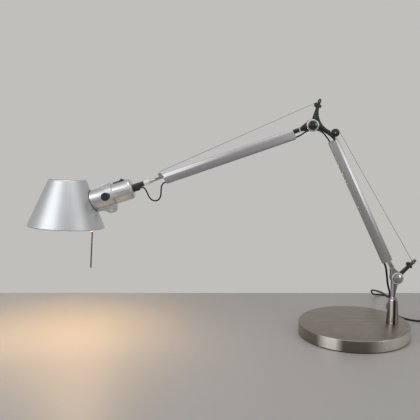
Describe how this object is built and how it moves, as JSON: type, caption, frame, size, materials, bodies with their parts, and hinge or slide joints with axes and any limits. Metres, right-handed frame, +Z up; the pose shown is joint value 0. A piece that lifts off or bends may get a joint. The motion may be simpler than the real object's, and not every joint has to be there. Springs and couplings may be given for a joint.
{
  "type": "spring-balanced desk lamp",
  "caption": "Spring-balanced desk lamp with a round weighted base, two tubular arms with tension cables, and a tilting cone shade beside a bar, its mains cord coiled.",
  "frame": {"origin": "centre of the round base's underside, on the table", "axes": "+Z up; +X from the head towards the stem, in the plane of the arms; +Y away from the side with the tilt knob"},
  "size_m": [0.9516, 0.3974, 0.4885],
  "materials": {
    "base_metal": "brushed",
    "weight_iron": "rough",
    "pad_rubber": "matte",
    "zinc_steel": "satin",
    "polished_cast": "polished",
    "polished_steel": "polished",
    "anodised_tube": "satin",
    "spring_steel": "satin",
    "black_plastic": "satin",
    "acetal": "satin",
    "black_lead": "satin",
    "shade_aluminium": "satin",
    "holder_aluminium": "satin",
    "ceramic": "gloss",
    "opal_glass": "gloss",
    "seal_rubber": "matte"
  },
  "bodies": {
    "base": {"base_cover": "base_metal", "base_weight": "weight_iron", "base_pad": "pad_rubber", "base_washer": "zinc_steel", "base_screw": "zinc_steel", "stem_cone": "base_metal", "swivel_bush": "acetal", "mains_lead": "black_lead", "mains_coil": "black_lead", "plug_body": "black_plastic", "plug_pins": "polished_steel"},
    "stem": {"stem_spindle": "zinc_steel", "stem_casting": "polished_cast", "base_cable_guide": "polished_steel", "mains_drop": "black_lead"},
    "lower_cable": {"lower_cable": "spring_steel"},
    "lower_arm": {"lower_tube": "anodised_tube", "lower_fork": "polished_cast", "lower_pivot_pin": "zinc_steel", "lower_pivot_rims": "polished_steel", "lower_pivot_domes": "polished_steel", "lower_pulley_pin": "zinc_steel", "lower_spring": "spring_steel", "lower_cable_tail": "spring_steel", "lower_tube_lead": "black_lead", "elbow_casting": "polished_cast", "elbow_cable_guide": "polished_steel", "elbow_lead": "black_lead", "lower_pulley": "polished_steel"},
    "upper_cable": {"upper_cable": "spring_steel"},
    "upper_arm": {"upper_tube": "anodised_tube", "upper_fork": "black_plastic", "upper_fork_ring": "polished_steel", "upper_pivot_pin": "zinc_steel", "upper_pivot_rims": "polished_steel", "upper_pivot_domes": "polished_steel", "head_fork": "polished_cast", "upper_pulley": "polished_steel", "upper_pulley_pin": "zinc_steel", "upper_spring": "spring_steel", "upper_cable_tail": "spring_steel", "upper_tube_lead": "black_lead", "head_lead": "black_lead"},
    "head_arm": {"wrist_collar": "polished_steel", "wrist_sleeve": "black_plastic", "tilt_bar": "polished_cast"},
    "head": {"tilt_bolt": "zinc_steel", "holder_cap": "holder_aluminium", "cord_gland": "black_plastic", "clamp_collar": "holder_aluminium", "clamp_screw": "zinc_steel", "saddle_seal": "seal_rubber", "lock_ring": "zinc_steel", "lampholder": "ceramic", "bulb": "opal_glass", "switch_body": "black_plastic", "shade": "shade_aluminium", "handle_rod": "zinc_steel"},
    "tilt_knob": {"tilt_knob": "black_plastic"},
    "switch_rocker": {"switch_rocker": "black_plastic"}
  },
  "joints": [
    {"name": "base_swivel", "type": "hinge", "parent": "base", "child": "stem", "pos_m": [0.081, 0, 0.06], "axis": [0, 0, 1], "range_deg": [-150, 150], "deforming": ["mains_lead"]},
    {"name": "lower_arm_tilt", "type": "hinge", "parent": "stem", "child": "lower_arm", "pos_m": [0.0855, 0, 0.1219], "axis": [0, 1, 0], "range_deg": [-30, 35], "deforming": ["mains_drop", "lower_cable", "lower_cable_tail", "lower_spring"]},
    {"name": "lower_cable_swing", "type": "hinge", "parent": "stem", "child": "lower_cable", "pos_m": [0.11848, 0, 0.15454], "axis": [0, 1, 0], "range_deg": [-34, 39]},
    {"name": "upper_arm_tilt", "type": "hinge", "parent": "lower_arm", "child": "upper_arm", "pos_m": [-0.09723, 0, 0.43583], "axis": [0, 1, 0], "range_deg": [-30, 40], "deforming": ["elbow_lead", "upper_cable", "upper_cable_tail", "upper_spring"]},
    {"name": "upper_cable_swing", "type": "hinge", "parent": "lower_arm", "child": "upper_cable", "pos_m": [-0.08367, 0, 0.48396], "axis": [0, 1, 0], "range_deg": [-30, 40]},
    {"name": "head_swivel", "type": "hinge", "parent": "upper_arm", "child": "head_arm", "pos_m": [-0.42999, 0, 0.32105], "axis": [-0.9453, 0, -0.3261], "range_deg": [-90, 90], "deforming": ["head_lead"]},
    {"name": "head_tilt", "type": "hinge", "parent": "head_arm", "child": "head", "pos_m": [-0.51479, 0, 0.29181], "axis": [0.0256, 0.9969, -0.0742], "range_deg": [-60, 60], "deforming": ["head_lead"]},
    {"name": "tilt_knob_turn", "type": "hinge", "parent": "head", "child": "tilt_knob", "pos_m": [-0.51479, 0, 0.29181], "axis": [0.0256, 0.9969, -0.0742], "range_deg": [-90, 90]},
    {"name": "switch_rocker_tilt", "type": "hinge", "parent": "head", "child": "switch_rocker", "pos_m": [-0.49163, 0.02753, 0.31923], "axis": [-0.0256, -0.9969, 0.0742], "range_deg": [-14, 0]}
  ],
  "couplings": [
    {"joint": "lower_cable_swing", "follows": "lower_arm_tilt", "ratio": 1.0455},
    {"joint": "upper_cable_swing", "follows": "upper_arm_tilt", "ratio": 0.9253}
  ]
}
